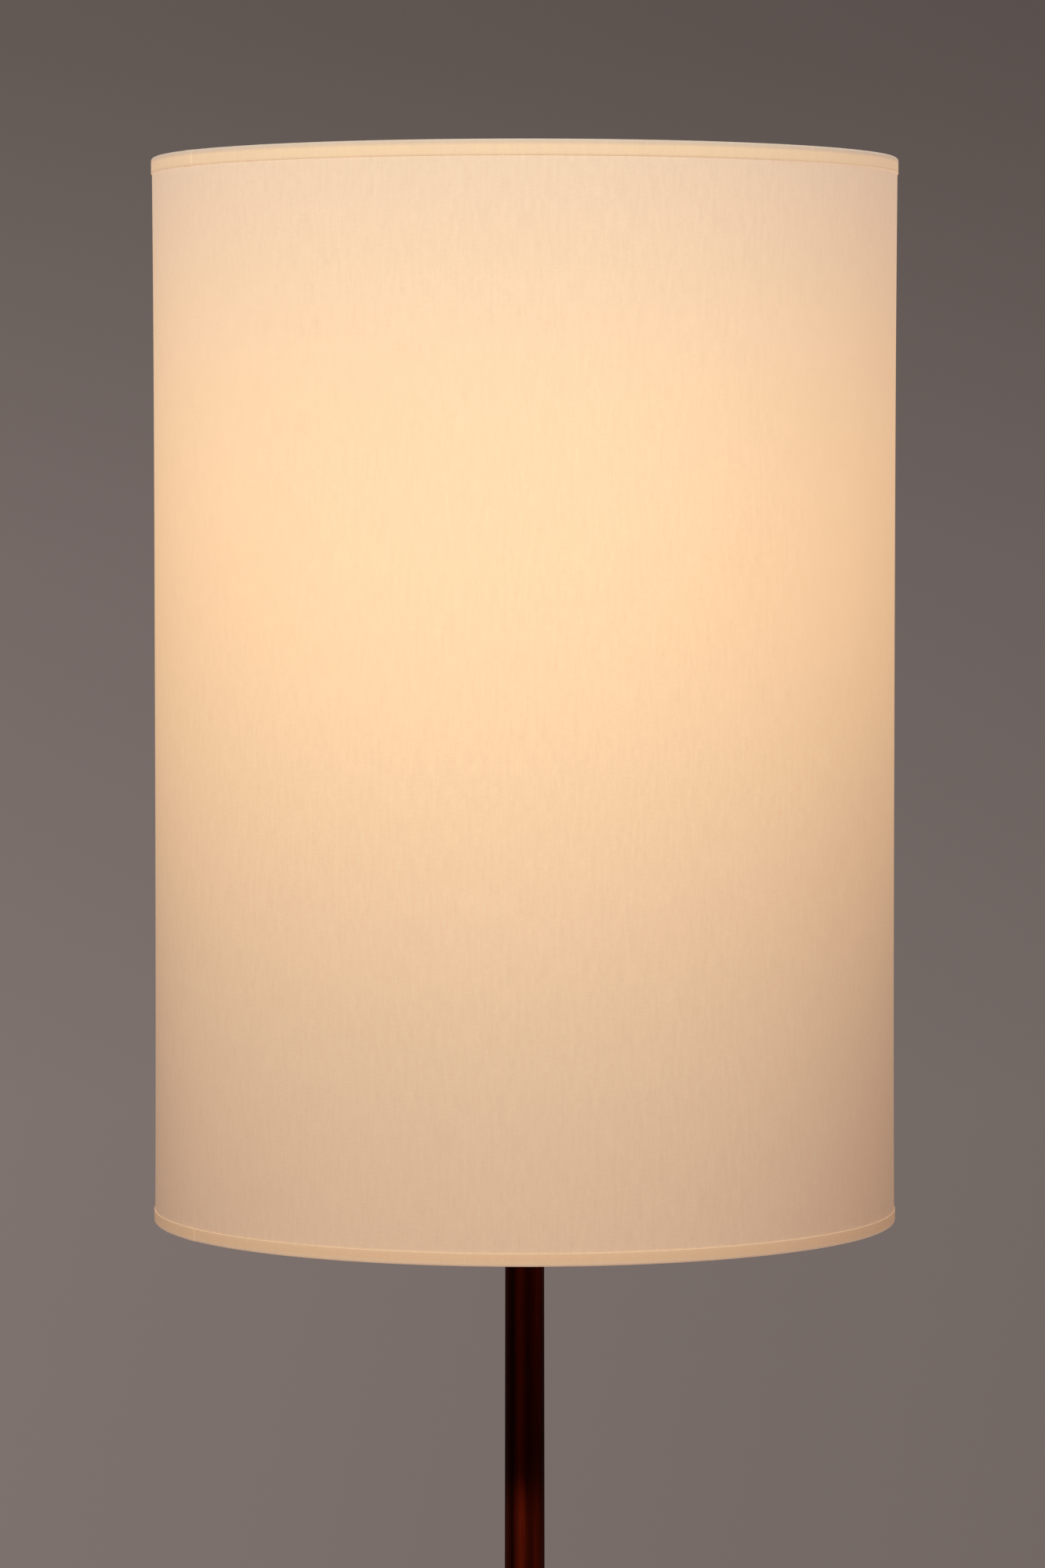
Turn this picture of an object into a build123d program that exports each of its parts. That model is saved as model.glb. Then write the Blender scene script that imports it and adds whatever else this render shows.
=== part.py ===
from build123d import *
import os

# A teak floor lamp with a tall fabric drum shade. Millimetres, +Z up.
# The origin is on the floor, at the foot of the column. -Y is the front.

# Overall sizes
lamp_height = 1450
shade_diameter = 420
shade_height = 600
base_diameter = 280
light_below_rim = 187  # the bulb's middle, under the shade's top rim

# Shade: laminated skin, steel rings, hem tapes and the recessed spider
skin_thickness = 0.9
seam_lap = 14  # the skin's ends overlap this far, at the back
seam_step = 0.35
tape_thickness = 0.45
top_hem_width = 8.6
bottom_hem_width = 7.1
ring_thickness = 2.4
ring_height = 4
spider_drop = 26  # from the top rim down to the hub's underside
spider_strip = (7, 1.6)  # width, thickness
hub_radius = 15
arm_count = 3

# Harp: a bent strip with a threaded stud, on a saddle with two sleeves
strip_width = 5
strip_thickness = 2
harp_leg = 31  # from the axis to a leg's middle
harp_belly = 57
stud_radius = 3.15
stud_length = 14
sleeve_length = 16
sleeve_wall = 1.2
saddle_width = 9
saddle_pad = 18

# Column, tie tube and what clamps them
column_foot_radius = 12.3
column_top_radius = 10.65
column_belly = 0.1  # how far the taper swells at half height
tube_radius = 5
tube_bore = 3.5
column_bore = 5.4
tenon_radius = 9
nut_height = 4.5
nut_across_flats = 14
plate_height = 2
base_plate_width = 40
top_plate_width = 14.5

# Base
felt_thickness = 2
felt_setback = 7
rim_height = 30
rim_chamfer = 3
boss_height = 36
boss_radius = 20
weight_radius = 117
weight_bottom = 2.5
recess_ceiling = 22
pocket_width = 46
pocket_top = 16
slot_width = 11
bush_height = 9  # the cord inlet's middle
bush_length = 20
bush_width = 12
inlet_bore = 3.75

# Lampholder and bulb
bulb_radius = 19
bulb_length = 118
bulb_shoulder = 6
cap_radius = 13.2  # the bulb's screw cap
cap_length = 26
tip_radius = 4.5
tip_height = 3
holder_radius = 19.4
holder_wall = 2.3
grip_flats = 16
holder_floor = 6
insert_height = 20
insert_radius = 16
spindle_radius = 2

# Clearances
running = 0.07  # radial, between a shaft and its hole
seat_gap = 0.1  # between faces that turn on each other

# Heights that follow from them
shade_top = lamp_height
shade_bottom = shade_top - shade_height
light_height = shade_top - light_below_rim
glass_half = (bulb_length - cap_length) / 2
bulb_tip = light_height - glass_half - cap_length
insert_top = bulb_tip - 1
insert_bottom = insert_top - insert_height
holder_bottom = insert_bottom - holder_floor
holder_mouth = bulb_tip + cap_length - 1
cap_rim = insert_top + 9
spindle_height = insert_bottom + insert_height / 2
saddle_bottom = holder_bottom - strip_thickness
column_top = saddle_bottom - nut_height - plate_height
leg_foot = holder_bottom + 22  # where harp legs stand on the saddle's ears
hub_bottom = shade_top - spider_drop
hub_top = hub_bottom + spider_strip[1]
stud_seat = hub_bottom - seat_gap
harp_top = stud_seat - 1.9

os.makedirs("parts", exist_ok=True)


def save(name, shape):
    """Writes one sub-part to its own file."""
    shape.label = name
    export_step(shape, f"parts/{name}.step")


def turned(*corners):
    """A solid turned about the lamp's axis. A corner is (radius, height), and a third value is how far
    the side that leads to it swells outwards."""
    sides = []
    for start, end in zip(corners, corners[1:] + corners[:1]):
        first, last = Vector(*start[:2]), Vector(*end[:2])
        if len(end) == 3:
            middle = (first + last) / 2 + (last - first).normalized().rotate(Axis.Z, -90) * 2 * end[2]
            sides.append(Bezier(first, middle, last))
        else:
            sides.append(Line(first, last))
    return revolve(Plane.XZ * make_face(sides), Axis.Z)


def rod(radius, length):
    """A round bar that starts at the origin and points up."""
    return Cylinder(radius, length, align=(Align.CENTER, Align.CENTER, Align.MIN))


def bent_strip(points, bends, thickness, width):
    """A flat strip bent along (x, z) points, with one bend radius for each inner point."""
    path = FilletPolyline(*points, radius=bends)
    return extrude(Plane.XZ * trace(path, thickness), width / 2, both=True)


def around(angle, shape):
    """The shape turned about the lamp's axis by an angle in degrees."""
    return Rot(0, 0, angle) * shape


# Base


def felt_pad():
    return rod(base_diameter / 2 - felt_setback, felt_thickness)


def base_weight():
    """Cast disc with a pocket for the nut and a slot for the tube and the cord."""
    height = recess_ceiling - weight_bottom
    slot = Pos(0, -slot_width / 2, 0) * Box(
        slot_width, 2 * weight_radius, height, align=(Align.CENTER, Align.MIN, Align.MIN)
    )
    pocket = Box(
        pocket_width, pocket_width, pocket_top - weight_bottom, align=(Align.CENTER, Align.CENTER, Align.MIN)
    )
    return Pos(0, 0, weight_bottom) * (rod(weight_radius, height) - slot - pocket)


def base_disc():
    """Turned teak disc with a low boss, hollowed underneath for the weight."""
    edge = base_diameter / 2
    recess, socket = weight_radius + 1, tenon_radius + 0.05
    body = turned(
        (socket, recess_ceiling),
        (recess, recess_ceiling),
        (recess, felt_thickness),
        (edge, felt_thickness),
        (edge, rim_height - rim_chamfer),
        (edge - rim_chamfer, rim_height),
        (boss_radius, rim_height),
        (boss_radius, boss_height),
        (socket, boss_height),
    )
    return body - cord_notch(30)


def cord_notch(length):
    """The notch milled across the back rim, as a block of some length that starts in the recess."""
    notch = Box(bush_width, length, bush_height + 4, align=(Align.CENTER, Align.MIN, Align.MIN))
    return Pos(0, weight_radius + 1, felt_thickness) * notch


def cord_bush():
    """Square grommet that fills the notch and lines the cord's way."""
    bore = Pos(0, weight_radius, bush_height) * Rot(-90, 0, 0) * rod(inlet_bore, 2 * bush_length)
    return cord_notch(bush_length) - bore


# Column and what clamps it


def tie_tube():
    foot, top = pocket_top - plate_height - nut_height - 0.5, holder_bottom + holder_floor - 1
    return Pos(0, 0, foot) * (rod(tube_radius, top - foot) - rod(tube_bore, top - foot))


def tube_nuts():
    """One nut in the weight's pocket and one under the harp's saddle."""
    hexagon = RegularPolygon(nut_across_flats / 2, 6, major_radius=False)
    nut = extrude(hexagon - Circle(tube_radius), nut_height)
    low = pocket_top - plate_height - nut_height
    return Compound([Pos(0, 0, low) * nut, Pos(0, 0, column_top + plate_height) * nut])


def tube_plates():
    """Square washers: one bridges the weight's slot, one lies on the column's top."""
    hole = Circle(tube_radius + 0.1)
    low = extrude(Rectangle(base_plate_width, base_plate_width) - hole, plate_height)
    high = extrude(Rectangle(top_plate_width, top_plate_width) - hole, plate_height)
    return Compound([Pos(0, 0, pocket_top - plate_height) * low, Pos(0, 0, column_top) * high])


def column():
    """Tapered teak column, bored for the tube, with a tenon that goes through the base."""
    return turned(
        (column_bore, recess_ceiling),
        (tenon_radius, recess_ceiling),
        (tenon_radius, boss_height),
        (column_foot_radius, boss_height),
        (column_top_radius, column_top, column_belly),
        (column_bore, column_top),
    )


# Lampholder


def holder_cap():
    """Moulded cap with grip flats and a hole for the switch spindle. It screws down on the tube."""
    height = cap_rim - holder_bottom
    outside = extrude(RegularPolygon(holder_radius, grip_flats), height)
    inside = Pos(0, 0, holder_floor) * rod(holder_radius - holder_wall, height)
    spindle_hole = Pos(0, 0, spindle_height - holder_bottom) * Rot(90, 0, 0) * rod(spindle_radius + 0.4, 30)
    return Pos(0, 0, holder_bottom) * (outside - inside - spindle_hole - rod(tube_radius + 0.05, height))


def holder_skirt():
    """Barrel threaded for the bulb, with flats, that screws into the cap and traps the insert."""
    outside = RegularPolygon(holder_radius - holder_wall - running, grip_flats)
    barrel = extrude(outside - Circle(cap_radius + running), holder_mouth - insert_top)
    return Pos(0, 0, insert_top) * barrel


def contact_insert():
    """Porcelain block with flats, bored for the switch spindle."""
    block = extrude(RegularPolygon(insert_radius, 8), insert_height)
    bore = Pos(0, -6, spindle_height) * Rot(90, 0, 0) * rod(spindle_radius + running, insert_radius)
    return Pos(0, 0, insert_bottom) * block - bore


def centre_contact():
    """Sprung tongue that the bulb's tip presses on."""
    points = [(-7, insert_top + 0.3), (-2, insert_top + 0.3), (4, insert_top + 0.7)]
    return bent_strip(points, [3], 0.6, 5)


# Switch key


def key_spindle():
    return Pos(0, -6, spindle_height) * Rot(90, 0, 0) * rod(spindle_radius, 20)


def key_paddle():
    """Flat key with a square hub, pressed on the spindle's end."""
    blade = Pos(0, -34, spindle_height) * Box(3, 14, 11)
    hub = Pos(0, -24, spindle_height) * Box(6.5, 7, 6.5)
    return blade + hub - key_spindle()


# Bulb


def bulb_glass():
    """Tubular opal envelope, sloped in at its end."""
    foot, top = bulb_tip + cap_length, bulb_tip + bulb_length
    shoulder, crown = top - bulb_shoulder, bulb_radius - bulb_shoulder
    return turned((0, foot), (bulb_radius, foot), (bulb_radius, shoulder), (crown, top), (0, top))


def bulb_cap():
    """Screw cap with the contact at its tip."""
    barrel = Pos(0, 0, tip_height) * rod(cap_radius, cap_length - tip_height)
    tip = extrude(RegularPolygon(tip_radius, 8), tip_height)
    return Pos(0, 0, bulb_tip) * (barrel + tip)


# Harp


def harp_saddle():
    """Plate clamped under the lampholder, with an upright ear under each harp leg."""
    z = saddle_bottom + strip_thickness / 2
    points = [(-harp_leg, leg_foot), (-harp_leg, z), (harp_leg, z), (harp_leg, leg_foot)]
    strip = bent_strip(points, [4, 4], strip_thickness, saddle_width)
    waist_height = 2 * sleeve_length / 3
    waist = Box(4 * harp_leg, strip_width, waist_height)
    cutter = Box(4 * harp_leg, 2 * saddle_width, waist_height) - waist
    pad = Pos(0, 0, z) * Box(saddle_pad, saddle_pad, strip_thickness)
    hole = Pos(0, 0, z) * Cylinder(tube_radius + 0.1, 2 * strip_thickness)
    return strip - Pos(0, 0, leg_foot - waist_height / 2) * cutter + pad - hole


def harp_loop():
    """One strip bent up from both legs, round the bulb, to a flat seat."""
    z = harp_top - strip_thickness / 2
    side = [(harp_leg, leg_foot), (harp_leg, leg_foot + 30), (harp_belly, light_height), (44, harp_top - 40)]
    points = side + [(26, z), (-26, z)] + [(-x, height) for x, height in reversed(side)]
    bends = [20, 60, 34, 14]
    loop = bent_strip(points, bends + bends[::-1], strip_thickness, strip_width)
    return loop + Pos(0, 0, z) * Box(14, 14, strip_thickness)


def harp_stud():
    """Threaded stud with a six-sided shoulder that the spider's hub turns on."""
    flange = extrude(RegularPolygon(7, 6), stud_seat - harp_top)
    return Pos(0, 0, harp_top) * (flange + rod(stud_radius, stud_seat - harp_top + stud_length))


def harp_sleeve(side):
    """Rectangular sleeve that locks a harp leg to its ear."""
    wide, thick = strip_width + 2 * running, strip_thickness + 2 * running
    outer = Box(thick + 2 * sleeve_wall, wide + 2 * sleeve_wall, sleeve_length)
    tube = outer - Box(thick, wide, sleeve_length)
    return Pos(side * harp_leg, 0, leg_foot - sleeve_length / 6) * tube


def finial():
    """Eight-sided knob that screws down on the stud."""
    foot = hub_top + seat_gap
    collar = extrude(RegularPolygon(6, 8), 6)
    knob = Pos(0, 0, 5) * extrude(RegularPolygon(9, 8), 11)
    tip = Pos(0, 0, 16) * extrude(RegularPolygon(9, 8), 3, taper=45)
    bore = rod(stud_radius + running, stud_seat + stud_length + 1 - foot)
    return Pos(0, 0, foot) * (collar + knob + tip - bore)


# Shade


def shade_skin():
    """Laminated fabric cylinder with its lap seam at the back."""
    outer = shade_diameter / 2
    wall = rod(outer, shade_height) - rod(outer - skin_thickness, shade_height)
    low, high = bottom_hem_width + 0.2, shade_height - top_hem_width - 0.2
    lap = rod(outer + seam_step, high - low) - rod(outer, high - low)
    lap &= Pos(0, outer, 0) * Box(seam_lap, 20, 2 * shade_height)
    return Pos(0, 0, shade_bottom) * (wall + Pos(0, 0, low) * lap)


def shade_rings():
    """Steel rings inside both edges of the skin."""
    outer = shade_diameter / 2 - skin_thickness
    ring = rod(outer, ring_height) - rod(outer - ring_thickness, ring_height)
    return Compound([Pos(0, 0, shade_bottom) * ring, Pos(0, 0, shade_top - ring_height) * ring])


def hem_tape(width):
    """Band of tape round the skin's edge."""
    skin = shade_diameter / 2
    return rod(skin + tape_thickness, width) - rod(skin, width)


def hem_tapes():
    top = Pos(0, 0, shade_top - top_hem_width) * hem_tape(top_hem_width)
    bottom = Pos(0, 0, shade_bottom) * hem_tape(bottom_hem_width)
    return Compound([top, bottom])


def spider():
    """Hub and three strip arms that step down from the top ring."""
    width, thickness = spider_strip
    ring_foot = shade_top - ring_height
    high, low = ring_foot - thickness / 2, hub_bottom + thickness / 2
    reach = shade_diameter / 2 - skin_thickness - 0.3
    points = [(hub_radius - 2, low), (158, low), (186, high), (reach, high)]
    arm = bent_strip(points, [6, 6], thickness, width)
    hub = Pos(0, 0, hub_bottom) * rod(hub_radius, thickness)
    star = hub + [around(90 + 360 * i / arm_count, arm) for i in range(arm_count)]
    return star - Pos(0, 0, low) * Cylinder(stud_radius + running, 2 * thickness)


save("felt_pad", felt_pad())
save("base_weight", base_weight())
save("base_disc", base_disc())
save("cord_bush", cord_bush())
save("tie_tube", tie_tube())
save("tube_nuts", tube_nuts())
save("tube_plates", tube_plates())
save("column", column())
save("holder_cap", holder_cap())
save("holder_skirt", holder_skirt())
save("contact_insert", contact_insert())
save("centre_contact", centre_contact())
save("key_spindle", key_spindle())
save("key_paddle", key_paddle())
save("bulb_glass", bulb_glass())
save("bulb_cap", bulb_cap())
save("harp_saddle", harp_saddle())
save("harp_loop", harp_loop())
save("harp_stud", harp_stud())
save("harp_sleeve_left", harp_sleeve(-1))
save("harp_sleeve_right", harp_sleeve(1))
save("finial", finial())
save("shade_skin", shade_skin())
save("shade_rings", shade_rings())
save("hem_tapes", hem_tapes())
save("spider", spider())
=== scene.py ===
import math
import bpy
import bmesh
from mathutils import Matrix, Vector


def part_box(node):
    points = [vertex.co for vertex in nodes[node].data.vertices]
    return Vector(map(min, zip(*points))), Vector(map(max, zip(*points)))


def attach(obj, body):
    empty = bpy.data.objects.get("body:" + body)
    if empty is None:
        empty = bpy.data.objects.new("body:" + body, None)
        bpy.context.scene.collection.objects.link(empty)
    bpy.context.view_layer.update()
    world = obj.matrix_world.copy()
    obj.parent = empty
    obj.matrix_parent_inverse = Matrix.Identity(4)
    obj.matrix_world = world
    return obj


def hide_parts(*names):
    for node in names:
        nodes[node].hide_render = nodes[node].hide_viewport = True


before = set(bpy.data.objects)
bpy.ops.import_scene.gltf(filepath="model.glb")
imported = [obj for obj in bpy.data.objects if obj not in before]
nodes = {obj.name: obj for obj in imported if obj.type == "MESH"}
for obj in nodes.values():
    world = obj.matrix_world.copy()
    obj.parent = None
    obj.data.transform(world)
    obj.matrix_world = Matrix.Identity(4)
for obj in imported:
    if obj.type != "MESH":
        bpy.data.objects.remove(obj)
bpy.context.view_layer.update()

# Sizes in metres, as in the CAD
SHADE_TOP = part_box("hem_tapes")[1].z
SHADE_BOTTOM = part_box("hem_tapes")[0].z
SHADE_RADIUS = 0.210
SKIN = 0.0009
TAPE = 0.00045
TOP_HEM = 0.0086
BOTTOM_HEM = 0.0071
RING_DEPTH = 0.0024
RING_INNER = SHADE_RADIUS - SKIN - RING_DEPTH

# Degrees that an edge has to turn to stay crisp, or to be bevelled
SHARP = 35
SHARP_TRIM = 40
SHARP_SKIN = 50
SHARP_SOLID = 19
SHARP_HOLDER = 40


# Mesh helpers


def turned(angle, radius, height):
    """The point at a radius and a height, turned by an angle from the front of the lamp."""
    return radius * math.sin(angle), -radius * math.cos(angle), height


def ring_faces(rings, count, left_out=()):
    """Faces between rings of count points, each joined to the next and the last to the first."""
    total = rings * count
    faces = []
    for i in range(rings):
        for k in range(count):
            a, b = i * count + k, i * count + (k + 1) % count
            if k not in left_out:
                faces.append((a, (a + count) % total, (b + count) % total, b))
    return faces


def mesh_object(name, verts, faces, material, sharp=SHARP):
    """A mesh piece with one material. Edges that turn more than sharp degrees stay crisp."""
    mesh = bpy.data.meshes.new(name)
    mesh.from_pydata([tuple(v) for v in verts], [], faces)
    mesh.validate()
    work = bmesh.new()
    work.from_mesh(mesh)
    bmesh.ops.remove_doubles(work, verts=work.verts, dist=1e-7)
    bmesh.ops.recalc_face_normals(work, faces=work.faces)
    work.to_mesh(mesh)
    work.free()
    mesh.polygons.foreach_set("use_smooth", [True] * len(mesh.polygons))
    mesh.set_sharp_from_angle(angle=math.radians(sharp))
    piece = bpy.data.objects.new(name, mesh)
    bpy.context.scene.collection.objects.link(piece)
    mesh.materials.append(material)
    return piece


def rounded(corners, radii, steps=5):
    """The closed outline through 2D corners, each rounded by its own radius."""
    outline = []
    count = len(corners)
    for i, radius in enumerate(radii):
        here = Vector(corners[i])
        before = Vector(corners[i - 1]) - here
        after = Vector(corners[(i + 1) % count]) - here
        if radius <= 0:
            outline.append(tuple(here))
            continue
        half = before.angle(after) / 2
        reach = radius / math.tan(half)
        start, end = here + before.normalized() * reach, here + after.normalized() * reach
        inwards = (before.normalized() + after.normalized()).normalized()
        centre = here + inwards * radius / math.sin(half)
        a, b = start - centre, end - centre
        turn = a.angle_signed(b)
        for k in range(steps + 1):
            outline.append(tuple(centre + Matrix.Rotation(-turn * k / steps, 2) @ a))
    return outline


def lathe(name, outline, material, turns):
    """A closed outline of (radius, height) turned about the lamp's axis."""
    verts = [turned(2 * math.pi * i / turns, r, z) for i in range(turns) for r, z in outline]
    count = len(outline)
    on_axis = [k for k in range(count) if max(outline[k][0], outline[(k + 1) % count][0]) < 1e-9]
    return mesh_object(name, verts, ring_faces(turns, count, on_axis), material)


def rides(piece, body, slot_name, *replaced):
    """Puts a piece on a body and in place of CAD nodes."""
    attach(piece, body)
    if replaced:
        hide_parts(*replaced)
    return piece


def crisp_group(degrees):
    """Geometry nodes that shade a mesh smooth but for the edges that turn more than some degrees."""
    group = bpy.data.node_groups.new(f"crisp_{degrees}", "GeometryNodeTree")
    group.interface.new_socket("Geometry", in_out="INPUT", socket_type="NodeSocketGeometry")
    group.interface.new_socket("Geometry", in_out="OUTPUT", socket_type="NodeSocketGeometry")
    start, end = group.nodes.new("NodeGroupInput"), group.nodes.new("NodeGroupOutput")
    smooth = group.nodes.new("GeometryNodeSetShadeSmooth")
    smooth.domain = "FACE"
    sharp = group.nodes.new("GeometryNodeSetShadeSmooth")
    sharp.domain = "EDGE"
    sharp.inputs["Shade Smooth"].default_value = False
    angle = group.nodes.new("GeometryNodeInputMeshEdgeAngle")
    wide = group.nodes.new("FunctionNodeCompare")
    wide.inputs[1].default_value = math.radians(degrees)
    group.links.new(angle.outputs["Unsigned Angle"], wide.inputs[0])
    group.links.new(wide.outputs[0], sharp.inputs["Selection"])
    group.links.new(start.outputs[0], smooth.inputs["Geometry"])
    group.links.new(smooth.outputs[0], sharp.inputs["Geometry"])
    group.links.new(sharp.outputs[0], end.inputs[0])
    return group


CRISP = crisp_group(SHARP_SOLID)


def dress(name, material, bevel=0.0, segments=2, angle=SHARP_SOLID):
    """Gives a CAD node its material and softens its edges that turn more than an angle."""
    piece = nodes[name]
    for place in piece.material_slots:
        place.material = material
    weld = piece.modifiers.new("weld", "WELD")
    weld.merge_threshold = 1e-6
    if bevel:
        soften = piece.modifiers.new("bevel", "BEVEL")
        soften.width = bevel
        soften.segments = segments
        soften.limit_method = "ANGLE"
        soften.angle_limit = math.radians(angle)
    crisp = piece.modifiers.new("crisp", "NODES")
    crisp.node_group = CRISP


# Material helpers


class Tree:
    """A node tree, with short calls that add its nodes."""

    def __init__(self, tree):
        self.tree = tree

    def add(self, kind, inputs=None, **settings):
        made = self.tree.nodes.new(kind)
        for key, value in settings.items():
            setattr(made, key, value)
        for key, value in (inputs or {}).items():
            self.feed(made.inputs[key], value)
        return made

    def feed(self, socket, value):
        if isinstance(value, bpy.types.NodeSocket):
            self.tree.links.new(value, socket)
        else:
            socket.default_value = value

    def maths(self, kind, a, b=0.0, c=0.0, clamp=False):
        made = self.add("ShaderNodeMath", {0: a, 1: b, 2: c}, operation=kind)
        made.use_clamp = clamp
        return made.outputs[0]

    def scaled(self, value, scale):
        return self.maths("MULTIPLY", value, scale)

    def parts(self, vector):
        return self.add("ShaderNodeSeparateXYZ", {0: vector}).outputs

    def grey(self, level):
        return self.add("ShaderNodeCombineColor", {0: level, 1: level, 2: level}).outputs[0]

    def noise(self, place, scale, detail=3.0, roughness=0.5, stretch=(1, 1, 1), distortion=0.0):
        moved = self.add("ShaderNodeMapping", {"Vector": place, "Scale": stretch}).outputs[0]
        inputs = {"Vector": moved, "Scale": scale, "Detail": detail, "Roughness": roughness}
        inputs["Distortion"] = distortion
        return self.add("ShaderNodeTexNoise", inputs).outputs["Fac"]

    def ramp(self, factor, *stops):
        made = self.add("ShaderNodeValToRGB", {"Fac": factor})
        ends = made.color_ramp.elements
        while len(ends) < len(stops):
            ends.new(0.5)
        for end, (position, colour) in zip(ends, stops):
            end.position = position
            end.color = (*colour, 1.0)
        return made.outputs["Color"]

    def mix(self, factor, a, b, kind="MIX"):
        made = self.add("ShaderNodeMix", data_type="RGBA", blend_type=kind)
        self.feed(made.inputs[0], factor)
        for socket, value in ((made.inputs[6], a), (made.inputs[7], b)):
            self.feed(socket, value if isinstance(value, bpy.types.NodeSocket) else (*value, 1.0))
        return made.outputs[2]

    def tint(self, a, b):
        return self.mix(1.0, a, b, "MULTIPLY")

    def bump(self, height, strength, distance):
        inputs = {"Height": height, "Strength": strength, "Distance": distance}
        return self.add("ShaderNodeBump", inputs).outputs["Normal"]


class Shader(Tree):
    """A node material with its principled shader."""

    def __init__(self, name, **sockets):
        self.material = bpy.data.materials.new(name)
        self.material.use_nodes = True
        super().__init__(self.material.node_tree)
        self.main = self.tree.nodes["Principled BSDF"]
        self.set(**sockets)
        self.place = self.add("ShaderNodeTexCoord").outputs["Object"]

    def set(self, **sockets):
        for key, value in sockets.items():
            self.feed(self.main.inputs[key.replace("_", " ")], value)
        return self.material

    def angle(self):
        """The angle round the lamp from its front, and the parts of the place."""
        parts = self.parts(self.place)
        return self.maths("ARCTAN2", parts[0], self.scaled(parts[1], -1.0)), parts


WHITE, BLACK = (1, 1, 1), (0, 0, 0)


# Wood

# Stripes of the column's grain and painted light: degrees round it from the front, and brightness. The
# bright stripes from -25 to -4 degrees are partly a painted highlight, and the raised stripes on the right
# half are partly painted light
COLUMN_GRAIN_AND_LIGHT = (
    (-180, 1.2), (-155, 0.8), (-128, 1.9), (-100, 1.0), (-66, 1.6), (-49, 0.55), (-36, 0.20),
    (-25, 1.6), (-15, 2.8), (-4, 2.7), (5, 1.1), (15, 1.0), (25, 1.4), (36, 1.8), (50, 1.9),
    (67, 1.7), (95, 0.9), (120, 1.9), (150, 1.1), (180, 1.2),
)
STRIPE_WANDER = 0.03
# Teak from its darkest streaks to its lightest
TEAK = (
    (0.30, (0.014, 0.0012, 0.0006)),
    (0.46, (0.045, 0.0034, 0.0010)),
    (0.58, (0.085, 0.0068, 0.0017)),
    (0.74, (0.120, 0.0118, 0.0030)),
)
FINE_GRAIN = (0.025, 0.004, 0.0015)
PORE = (0.012, 0.003, 0.002)
VARNISH = (1.0, 0.20, 0.05, 1.0)
GRAIN_UP = (1, 1, 0.03)
GRAIN_ACROSS = (0.03, 1, 1)


def column_grain_and_painted_light(made):
    """Brightness of the broad stripes that run up the column, by the angle round it: partly grain, partly
    painted highlight and painted light.
    """
    angle = made.angle()[0]
    wander = made.noise(made.place, 1.0, 3.0, 0.5, stretch=(20, 20, 5))
    turn = made.maths("ADD", made.maths("DIVIDE", angle, 2 * math.pi), 0.5)
    turn = made.maths("ADD", turn, made.scaled(made.maths("SUBTRACT", wander, 0.5), STRIPE_WANDER))
    stops = [(0.5 + degrees / 360, (level,) * 3) for degrees, level in COLUMN_GRAIN_AND_LIGHT]
    return made.ramp(turn, *stops)


def wood(name, grain, grain_and_light=None):
    """Dark varnished teak. grain is the stretch of the noises: small along the grain."""
    made = Shader(name, Specular_Tint=VARNISH)
    warped = made.noise(made.place, 3.0, 2.0, 0.5, stretch=grain)
    streaks = made.noise(made.place, 90.0, 6.0, 0.62, stretch=grain, distortion=0.6)
    fine = made.noise(made.place, 420.0, 3.0, 0.6, stretch=grain)
    pores = made.noise(made.place, 1100.0, 2.0, 0.5, stretch=grain)
    tone = made.maths("ADD", made.scaled(warped, 0.35), made.scaled(streaks, 0.65))
    colour = made.ramp(tone, *TEAK)
    lines = made.ramp(fine, (0.35, WHITE), (0.6, BLACK))
    colour = made.mix(made.scaled(lines, 0.45), colour, FINE_GRAIN)
    dots = made.ramp(pores, (0.30, WHITE), (0.38, BLACK))
    colour = made.mix(made.scaled(dots, 0.6), colour, PORE)
    # Stripes of grain with painted highlight and painted light, on the column only
    if grain_and_light:
        colour = made.tint(colour, grain_and_light(made))
    height = made.maths("SUBTRACT", made.scaled(fine, 0.3), made.scaled(dots, 0.6))
    rough = made.maths("ADD", 0.20, made.scaled(streaks, 0.12))
    return made.set(Base_Color=colour, Roughness=rough, Normal=made.bump(height, 0.25, 0.0003))


# The column's teak carries a painted highlight and painted light in its stripes
teak_up_painted_light = wood("m_teak_up", GRAIN_UP, column_grain_and_painted_light)
teak_flat = wood("m_teak_flat", GRAIN_ACROSS)


# Felt, iron, rubber, metals, bakelite, porcelain and paint


def grained(name, colour, spread, scale, roughness, bump, **sockets):
    """A plain moulded, cast or plated finish: mottled a little in colour, gloss and height."""
    made = Shader(name, **sockets)
    broad = made.noise(made.place, scale / 12, 3.0)
    fine = made.noise(made.place, scale, 4.0, 0.6)
    low = tuple(c * (1 - spread) for c in colour)
    high = tuple(min(1.0, c * (1 + spread)) for c in colour)
    tone = made.maths("ADD", made.scaled(broad, 0.7), made.scaled(fine, 0.3))
    shown = made.ramp(tone, (0.35, low), (0.65, high))
    rough = made.maths("ADD", roughness - 0.06, made.scaled(fine, 0.12))
    return made.set(Base_Color=shown, Roughness=rough, Normal=made.bump(fine, bump, 0.0004))


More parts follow.
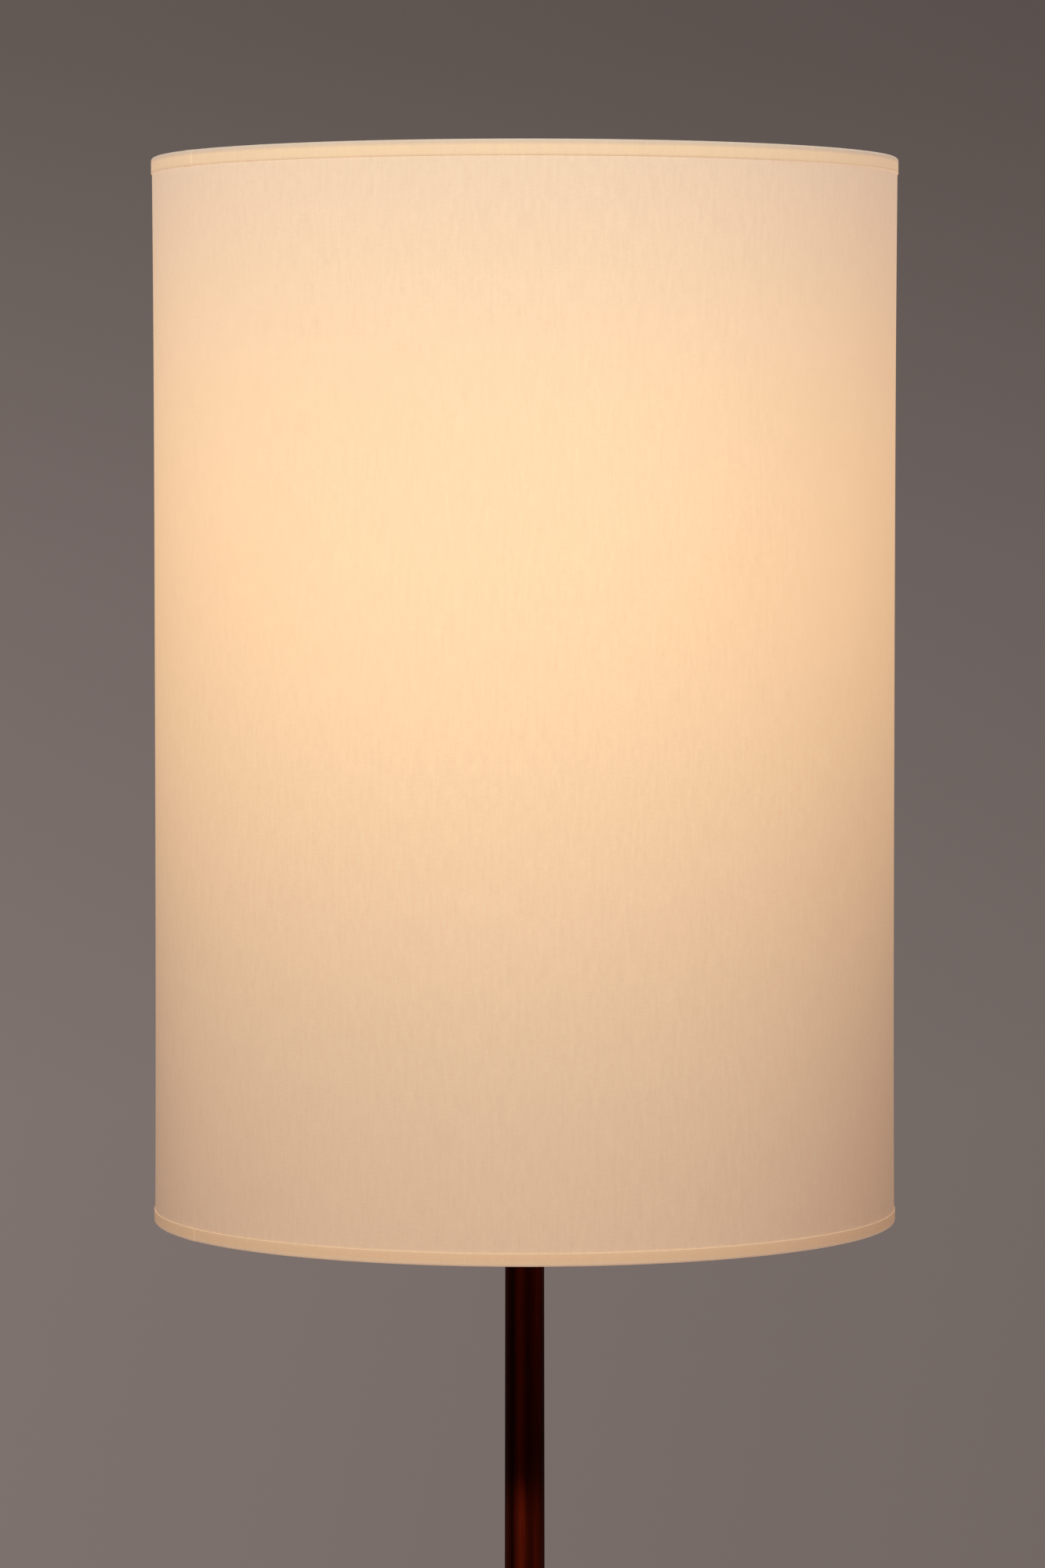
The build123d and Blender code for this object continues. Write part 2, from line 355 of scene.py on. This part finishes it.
felt = grained("m_felt", (0.036, 0.052, 0.040), 0.35, 2600, 0.95, 0.9, Sheen_Weight=0.3)
iron = grained("m_iron", (0.045, 0.043, 0.042), 0.25, 900, 0.55, 0.5, Metallic=0.2)
rubber = grained("m_rubber", (0.020, 0.019, 0.018), 0.15, 1500, 0.6, 0.15)
steel = grained("m_steel", (0.50, 0.49, 0.46), 0.12, 1200, 0.36, 0.12, Metallic=1.0)
brass = grained("m_brass", (0.62, 0.42, 0.16), 0.12, 900, 0.26, 0.08, Metallic=1.0)
bakelite = grained(
    "m_bakelite", (0.026, 0.011, 0.007), 0.25, 500, 0.28, 0.06, Coat_Weight=0.4, Coat_Roughness=0.1
)
porcelain = grained("m_porcelain", (0.66, 0.64, 0.59), 0.05, 300, 0.16, 0.03, Coat_Weight=0.6)
cap_metal = grained("m_cap_metal", (0.60, 0.58, 0.52), 0.08, 900, 0.28, 0.1, Metallic=1.0)
white_wire = grained("m_white_wire", (0.68, 0.66, 0.61), 0.05, 900, 0.35, 0.1)


# Glass

# Light of the bulb, by the height in its glass
BULB_LIGHT = (
    (0.02, (0.42, 0.24, 0.10)),
    (0.22, (0.80, 0.58, 0.34)),
    (0.55, (1.00, 0.86, 0.62)),
    (0.82, (0.92, 0.76, 0.52)),
    (1.00, (0.72, 0.55, 0.34)),
)


def opal_glass(name, low, high):
    """White opal glass with its light inside: full in the middle of the envelope, dimmer at its neck."""
    made = Shader(name, Roughness=0.2, Coat_Weight=0.5, Emission_Strength=0.9)
    height = made.parts(made.place)[2]
    rise = made.maths("DIVIDE", made.maths("SUBTRACT", height, low), high - low)
    milk = made.noise(made.place, 60.0, 3.0)
    rise = made.maths("ADD", rise, made.scaled(made.maths("SUBTRACT", milk, 0.5), 0.06))
    light = made.ramp(rise, *BULB_LIGHT)
    body = made.ramp(milk, (0.35, (0.50, 0.48, 0.43)), (0.65, (0.55, 0.53, 0.47)))
    return made.set(Base_Color=body, Emission_Color=light, Normal=made.bump(milk, 0.02, 0.0004))


glass_low, glass_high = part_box("bulb_glass")
opal = opal_glass("m_opal_glass", glass_low.z, glass_high.z)


# Cloth

# Constant, bulb and rim-to-rim parts of the light through the cloth, for red, green and blue
GLOW = ((0.217, 0.530, -0.002), (0.150, 0.288, 0.032), (0.176, 0.054, 0.060))
# Height of the brightest ring, and how far and how fast its light falls off
BULB_LEVEL = 1.247
BULB_REACH = 0.335
BULB_FALLOFF = -1.5
# Middle and half of the shade's height, from which the light tilts towards the top rim
MID_HEIGHT = 1.15
HALF_HEIGHT = 0.3
# Painted shade that dims the glow towards the sides, fixed round the shade, and the strength of its tilt
# with height there and at the front
SIDE_PAINTED_SHADE = 0.12
SIDE_TILT = 0.16
FRONT_TILT = 0.05

# Stretch of the noises round the shade and up it
WARP = (1500, 160, 1)
WEFT = (220, 1500, 1)
SLUBS = (420, 55, 1)
RIDGES = (40, 2.5, 1)
# Mean of the cloth's tone, and how much of its swing a spread of 1 lets through
MEAN_TONE = 1.55
TONE_GAIN = 2.6

SHADE_CLOTH = (0.66, 0.59, 0.40)
LINING_CLOTH = (0.62, 0.60, 0.54)
HEM_CLOTH = (0.66, 0.56, 0.34)


def glow_colour(made, angle, height, gain):
    """Light that comes through the cloth: brightest level with the bulb, fading to the rims, with painted
    shade towards the sides that shifts with height.
    """
    rise = made.maths("DIVIDE", made.maths("SUBTRACT", height, BULB_LEVEL), BULB_REACH)
    spread_out = made.maths("ADD", 1.0, made.maths("MULTIPLY", rise, rise))
    falloff = made.maths("POWER", spread_out, BULB_FALLOFF)
    tilt = made.maths("DIVIDE", made.maths("SUBTRACT", height, MID_HEIGHT), HALF_HEIGHT)
    # Painted shade: the glow dims towards the sides, and with height the sides and the front trade painted
    # light and shade
    side = made.maths("SUBTRACT", 1.0, made.maths("ABSOLUTE", made.maths("COSINE", angle)))
    side_painted_shade = made.scaled(made.maths("POWER", side, 2.0), SIDE_PAINTED_SHADE)
    open_up = made.maths("SUBTRACT", made.scaled(side, SIDE_TILT), FRONT_TILT)
    painted_side_shading = made.maths("SUBTRACT", 1.0, side_painted_shade)
    painted_side_shading = made.maths("ADD", painted_side_shading, made.maths("MULTIPLY", tilt, open_up))
    channels = {}
    for i, (base, peak, skew) in enumerate(GLOW):
        level = made.maths("ADD", base, made.scaled(falloff, peak))
        level = made.maths("ADD", level, made.scaled(tilt, skew))
        channels[i] = made.scaled(made.maths("MULTIPLY", level, painted_side_shading), gain)
    return made.add("ShaderNodeCombineColor", channels).outputs[0]


def hem_painted_fold_and_edge(made, height, painted_fold_shading, edge):
    """Tint down a hem, by the centimetres from its rim: painted shading on the fold, the plain band and a
    tint along its edge.
    """
    rims = [made.maths("ABSOLUTE", made.maths("SUBTRACT", height, z)) for z in (SHADE_TOP, SHADE_BOTTOM)]
    away = made.scaled(made.maths("MINIMUM", *rims), 100.0)
    return made.ramp(away, (0.10, painted_fold_shading[0]), (0.22, painted_fold_shading[1]), (0.34, WHITE), *edge)


def cloth(name, base, gain, spread, warmth=WHITE, painted_fold_shading=None, edge=None):
    """Fine plain-woven cotton, lit from behind."""
    made = Shader(
        name, Roughness=0.85, Specular_IOR_Level=0.25, Emission_Strength=1.0, Sheen_Weight=0.08
    )
    angle, parts = made.angle()
    height = parts[2]
    place = made.add("ShaderNodeCombineXYZ", {0: made.scaled(angle, SHADE_RADIUS), 1: height}).outputs[0]
    warp = made.noise(place, 1.0, 2.0, 0.6, stretch=WARP)
    weft = made.noise(place, 1.0, 2.0, 0.6, stretch=WEFT)
    slubs = made.noise(place, 1.0, 2.0, 0.6, stretch=SLUBS)
    ridges = made.noise(place, 1.0, 2.0, 0.5, stretch=RIDGES)
    clouds = made.noise(place, 6.0, 3.0, 0.5)
    threads = made.maths("ADD", warp, weft)
    tone = made.maths("ADD", made.scaled(threads, 0.9), made.scaled(slubs, 0.9))
    tone = made.maths("ADD", tone, made.scaled(ridges, 0.12))
    tone = made.maths("ADD", tone, made.scaled(clouds, 0.28))
    shade = made.scaled(made.maths("SUBTRACT", tone, MEAN_TONE), TONE_GAIN * spread)
    grey = made.grey(made.maths("ADD", 1.0, shade))
    glow = made.tint(made.tint(glow_colour(made, angle, height, gain), grey), warmth)
    colour = made.tint(grey, base)
    if painted_fold_shading:
        hem_shading_and_edge = hem_painted_fold_and_edge(made, height, painted_fold_shading, edge)
        glow = made.tint(glow, hem_shading_and_edge)
        colour = made.tint(colour, hem_shading_and_edge)
    relief = made.bump(made.maths("ADD", threads, made.scaled(slubs, 0.8)), 0.35, 0.00025)
    return made.set(Base_Color=colour, Emission_Color=glow, Normal=relief)


shade_cloth = cloth("m_shade_cloth", SHADE_CLOTH, 1.0, 0.055)
shade_lining = cloth("m_shade_lining", LINING_CLOTH, 0.38, 0.02, (1.0, 1.06, 1.2))
# The hems' folds carry painted shading: darker and cooler over the top rim, lighter under the bottom rim,
# where light from above doesn't reach
top_hem_cloth = cloth(
    "m_top_hem_cloth", HEM_CLOTH, 1.05, 0.04, (1.0, 0.985, 0.88),
    painted_fold_shading=((0.75, 0.83, 1.0), (0.85, 0.87, 0.94)),
    edge=((0.74, WHITE), (0.80, (0.93, 0.93, 0.92)), (0.84, (0.91, 0.91, 0.90))),
)
bottom_hem_cloth = cloth(
    "m_bottom_hem_cloth", HEM_CLOTH, 1.04, 0.04, (1.0, 0.955, 0.86),
    painted_fold_shading=((0.97, 1.05, 1.18), (1.01, 1.03, 1.05)),
    edge=((0.58, WHITE), (0.64, (0.99, 1.02, 1.06))),
)


# Shade

WAIST = 0.0008
SKIN_TURNS = 320
SKIN_ROWS = 60
LAP_WIDTH = 0.014
LAP_STEP = 0.00035
# Angles from the lap's edge: the foot of its step, the next row, and the rows that make way for them
LAP_EDGE = 0.0005
LAP_RUNOUT = 0.0035
LAP_CLEAR = 0.006


def shade_skin():
    """The laminated cylinder, waisted a little, with its lap seam at the back."""
    half_lap = LAP_WIDTH / 2 / SHADE_RADIUS
    angles = [math.pi * 2 * i / SKIN_TURNS for i in range(SKIN_TURNS)]
    angles = [a for a in angles if abs(a - math.pi) > half_lap + LAP_CLEAR]
    left, right = math.pi - half_lap, math.pi + half_lap
    angles += [left - LAP_RUNOUT, left - LAP_EDGE, left, math.pi - half_lap / 2, math.pi]
    angles += [math.pi + half_lap / 2, right, right + LAP_EDGE, right + LAP_RUNOUT]
    angles.sort()
    low, high = SHADE_BOTTOM + TAPE, SHADE_TOP - TAPE
    heights = [low + (high - low) * k / SKIN_ROWS for k in range(SKIN_ROWS + 1)]
    pulls = [WAIST * (1 - abs(2 * (z - low) / (high - low) - 1) ** 3) for z in heights]
    verts = []
    for angle in angles:
        lapped = abs(angle - math.pi) <= half_lap + 1e-6
        for z, pull in zip(heights, pulls):
            free = SHADE_BOTTOM + BOTTOM_HEM < z < SHADE_TOP - TOP_HEM
            verts.append(turned(angle, SHADE_RADIUS - pull + (LAP_STEP if lapped and free else 0), z))
        for z, pull in zip(reversed(heights), reversed(pulls)):
            verts.append(turned(angle, SHADE_RADIUS - SKIN - pull, z))
    faces = ring_faces(len(angles), 2 * len(heights))
    piece = mesh_object("cloth_skin", verts, faces, shade_cloth, SHARP_SKIN)
    piece.data.materials.append(shade_lining)
    for face in piece.data.polygons:
        out = Vector((face.center.x, face.center.y, 0)).normalized()
        face.material_index = 1 if face.normal.dot(out) < -0.5 else 0
    return piece


HEM_TURNS = 360
HEM_GAP = 0.00002
HEM_FOLD = 0.0014
HEM_EDGE = 0.00018
HEM_INNER_EDGE = 0.00015
HEM_INNER_FOLD = 0.0009
HEM_INNER_LEG = 0.0062
# Middle of the ring in the hem, by its depth under the cloth and its distance from the rim
HEM_MIDDLE = (0.0016, 0.0022)
# The hem's lap: its angle from the front, its half width and run-out as angles, and its step
HEM_LAP = math.radians(-61.3)
HEM_LAP_HALF = 0.0230
HEM_LAP_RUNOUT = 0.0242
HEM_LAP_STEP = 0.00028


def hem_wrap(name, width, rim, side, material):
    """Cloth tape turned over a rim and round the ring, with a short lap. side is 1 at the top, -1 below."""
    outer, inner = SHADE_RADIUS + TAPE, RING_INNER
    flat = SHADE_RADIUS + HEM_GAP
    corners = [
        (flat, width), (outer, width), (outer, 0), (inner - TAPE, 0), (inner - TAPE, HEM_INNER_LEG),
        (inner, HEM_INNER_LEG), (inner, TAPE), (flat, TAPE),
    ]
    radii = [0, HEM_EDGE, HEM_FOLD, HEM_FOLD, HEM_INNER_EDGE, 0, HEM_INNER_FOLD, HEM_INNER_FOLD]
    outline = rounded(corners, radii, 6)
    step = 2 * math.pi / HEM_TURNS
    angles = [i * step for i in range(HEM_TURNS)]
    for off in (-HEM_LAP_RUNOUT, -HEM_LAP_HALF, HEM_LAP_HALF, HEM_LAP_RUNOUT):
        angles.append(HEM_LAP + 2 * math.pi + off)
    angles.sort()
    middle_r, middle_z = SHADE_RADIUS - HEM_MIDDLE[0], HEM_MIDDLE[1]
    verts = []
    for angle in angles:
        lapped = abs(angle - HEM_LAP - 2 * math.pi) < (HEM_LAP_HALF + HEM_LAP_RUNOUT) / 2
        for r, z in outline:
            outside = r > SHADE_RADIUS + 0.0001 or z < TAPE - 0.00005
            if lapped and outside:
                away = Vector((1, 0))
                if z < middle_z:
                    away = Vector((r - middle_r, z - middle_z)).normalized()
                r, z = r + away.x * HEM_LAP_STEP, z + away.y * HEM_LAP_STEP
            verts.append(turned(angle, r, rim - side * max(z, 0.0)))
    return mesh_object(name, verts, ring_faces(len(angles), len(outline)), material, SHARP_TRIM)


skin = rides(shade_skin(), "shade", "shade_cloth", "shade_skin")
top_hem = hem_wrap("top_hem_wrap", TOP_HEM, SHADE_TOP, 1, top_hem_cloth)
bottom_hem = hem_wrap("bottom_hem_wrap", BOTTOM_HEM, SHADE_BOTTOM, -1, bottom_hem_cloth)
for hem in (top_hem, bottom_hem):
    rides(hem, "shade", "hem_cloth", "hem_tapes")
dress("shade_rings", white_wire)
dress("spider", white_wire, 0.0003)


# Column and base

dress("column", teak_up_painted_light, 0.0005)
dress("base_disc", teak_flat, 0.0012, 3)
dress("base_weight", iron, 0.0008)
dress("cord_bush", rubber, 0.0006)
felt_radius, felt_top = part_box("felt_pad")[1].x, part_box("felt_pad")[1].z
felt_outline = rounded(
    [(0, 0), (felt_radius - 0.0005, 0), (felt_radius, 0.0004), (felt_radius, felt_top), (0, felt_top)],
    [0, 0.0001, 0.0004, 0.0006, 0],
)
pad = rides(lathe("felt_disc", felt_outline, felt, 128), "lamp", "felt", "felt_pad")
dress("tie_tube", steel)
dress("tube_nuts", steel, 0.0004)
dress("tube_plates", steel, 0.0003)


# Lampholder, key and bulb

dress("holder_cap", bakelite, 0.0003, angle=SHARP_HOLDER)
dress("holder_skirt", bakelite, 0.0004, angle=SHARP_HOLDER)
dress("contact_insert", porcelain, 0.0004)
dress("centre_contact", brass)
dress("key_spindle", brass, 0.0003)
dress("key_paddle", bakelite, 0.0006)

CAP_TURNS = 96
CAP_ROWS = 110
THREAD_PITCH = 0.0036
THREAD_DEPTH = 0.0010
TIP_HEIGHT = 0.0030
# Radius and height of the solder tip and the glass round it
TIP = ((0.0035, 0.0001), (0.0052, 0.0006), (0.0056, 0.0012), (0.0085, 0.0016), (0.0112, TIP_HEIGHT))


def screw_cap(name, material):
    """The bulb's screw shell with its rolled thread, and the solder tip below it."""
    low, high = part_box("bulb_cap")
    radius, start, end = high.x, low.z + TIP_HEIGHT, high.z
    outline = [(r, low.z + z, 0.0) for r, z in TIP]
    outline.append((radius - THREAD_DEPTH, start + 0.0008, 0.0))
    shell = start + 0.0010
    for k in range(CAP_ROWS + 1):
        z = shell + (end - shell) * k / CAP_ROWS
        grip = min(1.0, (z - start) / 0.003, (end - 0.0022 - z) / 0.0015)
        outline.append((radius - THREAD_DEPTH / 2, z, max(0.0, grip) * THREAD_DEPTH / 2))
    verts, faces = [(0, 0, low.z)], []
    for i in range(CAP_TURNS):
        angle = 2 * math.pi * i / CAP_TURNS
        for r, z, swing in outline:
            wave = swing * math.cos(2 * math.pi * (z / THREAD_PITCH - i / CAP_TURNS))
            verts.append(turned(angle, r + wave, z))
    verts.append((0, 0, end))
    count = len(outline)
    for i in range(CAP_TURNS):
        a, c = 1 + i * count, 1 + (i + 1) % CAP_TURNS * count
        faces.append((0, c, a))
        faces += [(a + k, c + k, c + k + 1, a + k + 1) for k in range(count - 1)]
        faces.append((a + count - 1, c + count - 1, len(verts) - 1))
    return mesh_object(name, verts, faces, material, SHARP_TRIM)


rides(screw_cap("bulb_screw_cap", cap_metal), "bulb", "cap_metal", "bulb_cap")

NECK_RADIUS = 0.0135
NECK_HEIGHT = 0.010
bulb_outline = rounded(
    [
        (0, glass_low.z), (NECK_RADIUS, glass_low.z), (glass_high.x, glass_low.z + NECK_HEIGHT),
        (glass_high.x, glass_high.z), (0, glass_high.z),
    ],
    [0, 0.002, 0.009, 0.012, 0],
    10,
)
rides(lathe("bulb_envelope", bulb_outline, opal, 96), "bulb", "opal_glass", "bulb_glass")


# Harp and finial

dress("harp_saddle", brass, 0.0003)
dress("harp_loop", brass, 0.0003)
dress("harp_stud", brass, 0.0003)
dress("harp_sleeve_left", brass, 0.0002)
dress("harp_sleeve_right", brass, 0.0002)
dress("finial", brass, 0.0006, 3)


# Floor

# How much of the background shows in gloss: the varnish mirrors a room darker than its wall
GLOSS_SHARE = 0.12
FLOOR_RADIUS = 3.2
FLOOR_DROP = 0.0002
FADE_START = 1.2
FADE_WIDTH = 1.9
FLOOR_PAINT = ((0.3, (0.70, 0.66, 0.63)), (0.7, (0.74, 0.70, 0.67)))
FLOOR_BOUNCE = (0.08, 0.075, 0.072)


def plainly_seen(made):
    """1 for what the camera sees straight or through glass, less in gloss, 0 for the light it gives."""
    rays = made.add("ShaderNodeLightPath").outputs
    straight = made.maths("MAXIMUM", rays["Is Camera Ray"], rays["Is Transmission Ray"])
    return made.maths("MAXIMUM", straight, made.scaled(rays["Is Glossy Ray"], GLOSS_SHARE))


def floor_material():
    """Pale paint that fades out towards its edge. It neither hides nor darkens what is seen from below."""
    made = Shader("stage_floor", Roughness=0.8, Specular_IOR_Level=0.2)
    paint = made.ramp(made.noise(made.place, 4.0, 3.0), *FLOOR_PAINT)
    made.set(Base_Color=made.mix(plainly_seen(made), FLOOR_BOUNCE, paint))
    reach = made.add("ShaderNodeVectorMath", {0: made.place}, operation="LENGTH").outputs["Value"]
    fade = made.maths("DIVIDE", made.maths("SUBTRACT", reach, FADE_START), FADE_WIDTH, clamp=True)
    fade = made.maths("SMOOTH_MIN", fade, 1.0, 0.1, clamp=True)
    under = made.add("ShaderNodeNewGeometry").outputs["Backfacing"]
    rays = made.add("ShaderNodeLightPath").outputs
    from_below = made.maths("MULTIPLY", under, rays["Is Camera Ray"])
    gone = made.maths("MAXIMUM", fade, made.maths("MAXIMUM", from_below, rays["Is Shadow Ray"]))
    clear = made.add("ShaderNodeBsdfTransparent").outputs[0]
    both = made.add("ShaderNodeMixShader", {0: gone, 1: made.main.outputs[0], 2: clear}).outputs[0]
    made.feed(made.tree.nodes["Material Output"].inputs["Surface"], both)
    return made.material


floor_mesh = bpy.data.meshes.new("stage_floor")
around = [2 * math.pi * i / 96 for i in range(96)]
edge = [(FLOOR_RADIUS * math.cos(a), FLOOR_RADIUS * math.sin(a), -FLOOR_DROP) for a in around]
floor_mesh.from_pydata(edge, [], [tuple(range(96))])
floor_mesh.materials.append(floor_material())
floor = bpy.data.objects.new("stage_floor", floor_mesh)
bpy.context.scene.collection.objects.link(floor)


# Light

AIM_HEIGHT = 0.9
WARM = (1.0, 0.96, 0.92)


def area_light(name, azimuth, elevation, distance, size, watts, colour):
    """A soft box on a circle round the lamp. Azimuth 0 is the camera's side, and grows to the right."""
    light = bpy.data.lights.new(name, "AREA")
    light.shape = "RECTANGLE"
    light.size, light.size_y = size
    light.energy = watts
    light.color = colour
    placed = bpy.data.objects.new(name, light)
    a, e = math.radians(azimuth), math.radians(elevation)
    away = Vector((math.sin(a) * math.cos(e), -math.cos(a) * math.cos(e), math.sin(e)))
    placed.location = Vector((0, 0, AIM_HEIGHT)) + away * distance
    placed.rotation_euler = (-away).to_track_quat("-Z", "Y").to_euler()
    bpy.context.scene.collection.objects.link(placed)
    return placed


area_light("key_light", -22, 36, 3.5, (1.8, 0.25), 59, (1.0, 0.95, 0.9))
area_light("right_light", 60, 35, 3.2, (1.8, 0.4), 17, WARM)
area_light("rim_light", -135, 42, 3.0, (0.8, 0.4), 1, WARM)
area_light("back_light", 160, 45, 3.2, (1.6, 0.5), 14, WARM)
under_light = area_light("under_light", 0, -90, 2.6, (0.5, 0.5), 26, (1.0, 0.97, 0.94))
under_light.visible_glossy = False

# Light that the room gives, and the wall that is seen, from under the horizon up
AMBIENT = (0.0040, 0.0036, 0.0034)
WALL = (
    (0.08, (0.187, 0.152, 0.141)),
    (0.317, (0.189, 0.155, 0.144)),
    (0.625, (0.160, 0.129, 0.1205)),
    (0.907, (0.113, 0.0915, 0.0835)),
    (1.0, (0.105, 0.085, 0.078)),
)
WALL_LOW, WALL_SPAN = -0.2, 0.3
# The wall is brighter on the left by this much for each unit of direction, between two limits
WALL_SLOPE, WALL_DIM, WALL_BRIGHT = 1.1, 0.88, 1.12

world = bpy.data.worlds.new("studio")
bpy.context.scene.world = world
world.use_nodes = True
sky = Tree(world.node_tree)
parts = sky.parts(sky.add("ShaderNodeTexCoord").outputs["Generated"])
level = sky.maths("DIVIDE", sky.maths("ADD", parts[2], -WALL_LOW), WALL_SPAN)
wall = sky.ramp(level, *WALL)
sideways = sky.maths("SUBTRACT", 1.0, sky.scaled(parts[0], WALL_SLOPE))
sideways = sky.maths("MINIMUM", sky.maths("MAXIMUM", sideways, WALL_DIM), WALL_BRIGHT)
wall = sky.tint(wall, sky.grey(sideways))
backdrop = world.node_tree.nodes["Background"]
sky.feed(backdrop.inputs["Color"], sky.mix(plainly_seen(sky), AMBIENT, wall))
backdrop.inputs["Strength"].default_value = 1.0


# Camera

camera = bpy.data.cameras.new("camera")
camera.sensor_width = 36
camera.lens = 135.35
viewer = bpy.data.objects.new("camera", camera)
viewer.location = (-0.00124, -3.34, 1.27)
viewer.rotation_euler = (math.radians(87.042), 0, 0)
bpy.context.scene.collection.objects.link(viewer)
bpy.context.scene.camera = viewer
bpy.context.scene.view_settings.view_transform = "Standard"
